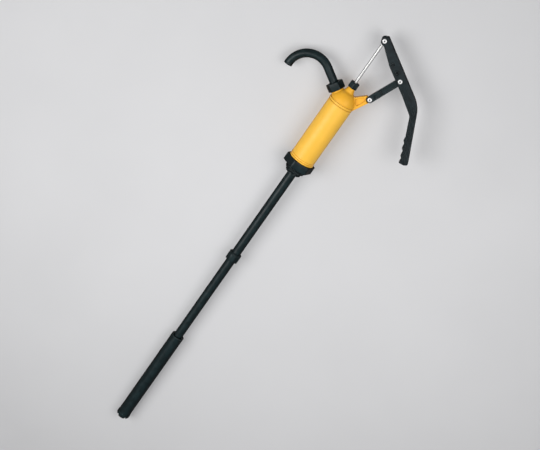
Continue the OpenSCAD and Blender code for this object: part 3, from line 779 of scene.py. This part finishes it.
def hole_seat(along, across, bore, ring_in, ring_out):
    """Cutters for a hole in the lever's front cheek with a sunk ring round it."""
    x, z = on_lever(along, across)
    face = Matrix.Translation((x, -CHEEK_Y, z)) @ Matrix.Rotation(math.pi / 2, 4, "X")
    ring = [(ring_in, -2.4), (ring_out, -2.4), (ring_out, 1), (ring_in, 1)]
    return [(turned([(bore, -6), (bore, 1)], capped=True), face), (turned(ring), face)]


def lever_cuts():
    """The channel, the pin and moulding holes, the side panels and the grooves of the grip."""
    elbow_x, elbow_z = LEVER_ELBOW
    web = 5 / math.cos(TOP_ANGLE)
    end = 126
    open_z = 276
    pin_fit_r = 3.01
    panel_depth = 2.4

    def under_web(x):
        return elbow_z + math.tan(TOP_ANGLE) * (x - elbow_x) - web

    roof = [(-end, under_web(-end)), (end - 5, under_web(end - 5)), (end, under_web(end) - 5)]
    channel = [*roof, (end, open_z), (-end, open_z)]
    cuts = [(slab(channel, -6.5, 6.5), HERE)]
    cuts += [(bar(p.x, p.z, pin_fit_r, -14, 14), HERE) for p in (ROD_PIN, LEVER_PIN)]
    cuts += hole_seat(91.2, -2.5, 3.1, 4.7, 7.4)
    cuts += hole_seat(66.2, -4.2, 2.3, 3.5, 5.5)
    panel = rounded([
        (116, 363.5, 3), (168.5, 330.5, 80), (203, 258.5, 1.2), (199.2, 257, 1.2), (177.5, 305, 14),
        (128.5, 341, 50), (111, 351, 4),
    ])
    groove = rounded([(0.2, 0, 0), (2.3, 2.2, 1), (2.3, 145.8, 1), (0.2, 148, 0)], 3)
    down = Vector((math.cos(GRIP_ANGLE), 0, math.sin(GRIP_ANGLE)))
    inwards = Vector((math.sin(GRIP_ANGLE), 0, -math.cos(GRIP_ANGLE)))
    grip_start = Vector((elbow_x, 0, elbow_z)) + down * 12
    for side in (-1, 1):
        y0, y1 = sorted((side * (CHEEK_Y - panel_depth), side * (CHEEK_Y + 3)))
        cuts.append((slab(panel, y0, y1), HERE))
        face = Vector((0, side * (CHEEK_Y + 0.13), 0))
        for depth in (3.2, 11.0, 18.4):
            start = grip_start + inwards * depth + down * (0.6 * depth) + face
            cuts.append((turned(groove, capped=True), frame_at(start, down)))
    return cuts


def make_lever():
    """The lever: two cheeks joined by a top web, an elbow, and a grip with finger ridges."""
    lever = mesh_object("lever_moulding", cushion(lever_corners(), CHEEK_Y, 3.2))
    carve(lever, *lever_cuts())
    hand_over(lever, "lever", "lever", "lever_plastic")


def make_link():
    """The link: a forked end round the bracket arm, a ribbed shank, and an eye inside the lever."""
    pin = Vector((BRACKET_PIN.x, 0, BRACKET_PIN.z))
    far = Vector((LEVER_PIN.x, 0, LEVER_PIN.z))
    length = (far - pin).length
    along = (far - pin).normalized()
    place = Matrix((along, Vector((0, 1, 0)), along.cross(Vector((0, 1, 0))))).transposed().to_4x4()
    place = Matrix.Translation(pin) @ place
    eye_r = 7.7

    def box(x0, x1, half, radius):
        return rounded([(x0, -half, radius), (x1, -half, radius), (x1, half, radius), (x0, half, radius)])

    fork = [(0, -9), (29, -9.3), (35, -6.3), (35, 6.3), (29, 9.3), (0, 9)]
    link = mesh_object("link_moulding", slab(box(6, length, 9.3, 0), -6.2, 6.2), place)
    solids = [slab(fork, -9.7, 9.7), bar(0, 0, 9, -9.7, 9.7), bar(length, 0, 11.2, -6.2, 6.2)]
    combine(link, [mesh_object("solid", shape, place) for shape in solids], "UNION")
    shank = box(37, length - 17.2, 5.3, 2)
    carve(
        link,
        (slab(box(-10, 12, 11, 0), -4.8, 4.8), place),
        (slab(box(11, 23, 11, 0), -4.8, -0.8), place),
        (slab(box(11, 23, 11, 0), 0.8, 4.8), place),
        (slab(shank, -9, -3.2), place),
        (slab(shank, 3.2, 9), place),
        (slab(box(13, 21, 4.5, 3), -12, -5.6), place),
        (slab(box(13, 21, 4.5, 3), 5.6, 12), place),
    )
    cast(link, 0.5, 3)
    carve(link, (bar(0, 0, PIN_BORE_R, -12, 12), place), (bar(length, 0, eye_r, -12, 12), place))
    hand_over(link, "link", "link")


def make_rivet(node, body):
    """A headed pin with a dimpled, domed head on the front face."""
    low, high = box_mm(node)
    head_r = (high.x - low.x) / 2
    face = -low.y - 1.9
    profile = rounded([(0.2, -high.y, 0), (3, -high.y, 0.5), (3, face, 0.1), (head_r, face, 0.2)], 3)
    profile += [Vector((head_r + r, face + z)) for r, z in (
        (0, 0.7), (-0.3, 1.2), (-0.9, 1.65), (-1.8, 1.9), (-2.8, 2.0),
    )]
    dimple = [(2.4, 1.95), (2.1, 1.6), (1.9, -1.1), (0.2, -1.2)]
    profile += [Vector((r, face + z)) for r, z in dimple]
    centre = (low + high) / 2
    place = Matrix.Translation((centre.x, 0, centre.z)) @ Matrix.Rotation(math.pi / 2, 4, "X")
    hand_over(mesh_object(node + "_head", turned(profile, capped=True), place), body, node)


make_barrel()
make_base_cap()
make_coupling()
make_sleeve_collar()
make_head_collar()
make_head_dome()
make_gland_nut()
make_spout_nut()
make_spout()
make_lever()
make_link()
make_rivet("rod_pin_rivet", "lever")
make_rivet("lever_pin_rivet", "lever")
make_rivet("bracket_pin_rivet", "root")


# ---- carried-over CAD nodes ----


def carry_over():
    """Gives each CAD node the material of its slot."""
    for name, node in frame["nodes"].items():
        node.data.materials.clear()
        node.data.materials.append(MATERIALS[SLOT_OF[name]])


carry_over()


# ---- stage, light and camera ----

VIEW_AZIMUTH = -1.1
VIEW_ELEVATION = 20.6
VIEW_ROLL = 35.3
VIEW_DISTANCE = 3.437
VIEW_TARGET = Vector((0.0337, 0, -0.1906))
LENS_MM = 80
SENSOR_MM = 36
SOFTBOX_SIZE = 1.9


def camera_axes():
    """The camera's right, up and back directions."""
    azimuth = math.radians(VIEW_AZIMUTH)
    elevation = math.radians(VIEW_ELEVATION)
    back = Vector((
        math.sin(azimuth) * math.cos(elevation),
        -math.cos(azimuth) * math.cos(elevation),
        math.sin(elevation),
    ))
    level = Vector((math.cos(azimuth), math.sin(azimuth), 0))
    roll = Matrix.Rotation(math.radians(VIEW_ROLL), 3, back)
    return roll @ level, roll @ back.cross(level), back


RIGHT, UP, BACK = camera_axes()


def make_camera():
    """The camera at the view's angle."""
    data = bpy.data.cameras.new("camera")
    data.lens = LENS_MM
    data.sensor_width = SENSOR_MM
    camera = bpy.data.objects.new("camera", data)
    camera.matrix_world = Matrix.Translation(VIEW_TARGET + BACK * VIEW_DISTANCE) @ (
        Matrix((RIGHT, UP, BACK)).transposed().to_4x4()
    )
    bpy.context.scene.collection.objects.link(camera)
    bpy.context.scene.camera = camera


# The floor's painted light, a glow that only the camera sees: its strength at the view's target, and how it
# changes to the right and up over each metre.
GLOW = 0.211
GLOW_SLOPE = (0.0093, 0.0065)
GLOW_FALL = (0.099, 0.103)
GLOW_TWIST = -0.028
LEAST_GLOW = 0.08


def floor_glow(n):
    """How much painted light the floor glows with: it fades away from the middle of the view, most of all at the
    lower left, like a pool of light.
    """
    place = n.add("TexCoord").outputs["Object"]
    across, up = [n.dot(place, axis, -VIEW_TARGET.dot(axis)) for axis in (RIGHT, UP)]
    glow = n.math("ADD", n.math("MULTIPLY", n.math("MULTIPLY", across, up), GLOW_TWIST), GLOW)
    for distance, slope, fall in zip((across, up), GLOW_SLOPE, GLOW_FALL):
        rate = n.math("SUBTRACT", slope, n.math("MULTIPLY", distance, fall))
        glow = n.math("ADD", glow, n.math("MULTIPLY", distance, rate))
    return n.math("MAXIMUM", glow, LEAST_GLOW)


def make_floor():
    """The pale surface the pump lies on, behind it in its own frame.

    It glows a little, for the camera only, as painted light. It is clear from behind and lets the back light
    through.
    """
    n = Nodes("floor")
    fibre = n.span(n.noise(3, 3), 0.3, 0.7)
    n.feed(n.shader.inputs["Base Color"], n.mix(fibre, (0.44, 0.44, 0.447, 1), (0.46, 0.46, 0.467, 1)))
    n.feed(n.shader.inputs["Roughness"], 0.95)
    n.feed(n.shader.inputs["Specular IOR Level"], 0.1)
    n.feed(n.shader.inputs["Emission Color"], (1.0, 1.0, 1.015, 1))
    glow = floor_glow(n)
    # Painted light: only camera rays see the floor's glow.
    seen = n.add("LightPath").outputs["Is Camera Ray"]
    n.feed(n.shader.inputs["Emission Strength"], n.math("MULTIPLY", seen, glow))
    clear = n.add("BsdfTransparent")
    side = n.add("MixShader")
    from_behind = n.add("NewGeometry").outputs["Backfacing"]
    n.feed(side.inputs[0], n.math("MAXIMUM", from_behind, n.add("LightPath").outputs["Is Shadow Ray"]))
    n.feed(side.inputs[1], n.shader.outputs[0])
    n.feed(side.inputs[2], clear.outputs[0])
    n.feed(n.output.inputs["Surface"], side.outputs[0])
    half = 2600
    slope = 0.12
    behind = 44
    lean = 0.021
    square = ((-half, -half), (half, -half), (half, half), (-half, half))
    corners = [(x, behind + slope * x + lean * z, z) for x, z in square]
    floor = mesh_object("floor", (corners, [(0, 1, 2, 3)]))
    if floor.data.polygons[0].normal.y > 0:
        floor.data.flip_normals()
    floor.data.materials.append(n.material)


def softbox(name, right, up, back, power):
    """A square soft light aimed at the view's target, placed from it along the camera's axes in metres."""
    data = bpy.data.lights.new(name, "AREA")
    data.shape = "SQUARE"
    data.size = SOFTBOX_SIZE
    data.energy = power
    light = bpy.data.objects.new(name, data)
    offset = RIGHT * right + UP * up + BACK * back
    aim = offset.to_track_quat("Z", "Y").to_matrix().to_4x4()
    light.matrix_world = Matrix.Translation(VIEW_TARGET + offset) @ aim
    light.visible_camera = False
    bpy.context.scene.collection.objects.link(light)


def make_world():
    """A dim surround for the reflections, which the camera itself sees as the same pale grey as the floor."""
    world = bpy.data.worlds.new("world")
    world.use_nodes = True
    tree = world.node_tree
    shader = tree.nodes["Background"]
    shader.inputs["Color"].default_value = (0.70, 0.70, 0.71, 1)
    strength = tree.nodes.new("ShaderNodeMapRange")
    strength.inputs["To Min"].default_value = 0.3
    strength.inputs["To Max"].default_value = 1.0
    tree.links.new(tree.nodes.new("ShaderNodeLightPath").outputs["Is Camera Ray"], strength.inputs["Value"])
    tree.links.new(strength.outputs[0], shader.inputs["Strength"])
    bpy.context.scene.world = world


def make_light():
    """The surround, two soft lights in front and one behind that lights only the pump's back."""
    make_world()
    softbox("left_light", right=-1.9, up=-0.2, back=2.4, power=69)
    softbox("right_light", right=1.35, up=-0.7, back=2.6, power=45)
    softbox("back_light", right=0.6, up=1.0, back=-3.0, power=55)
    bpy.context.scene.view_settings.view_transform = "Standard"


make_camera()
make_floor()
make_light()
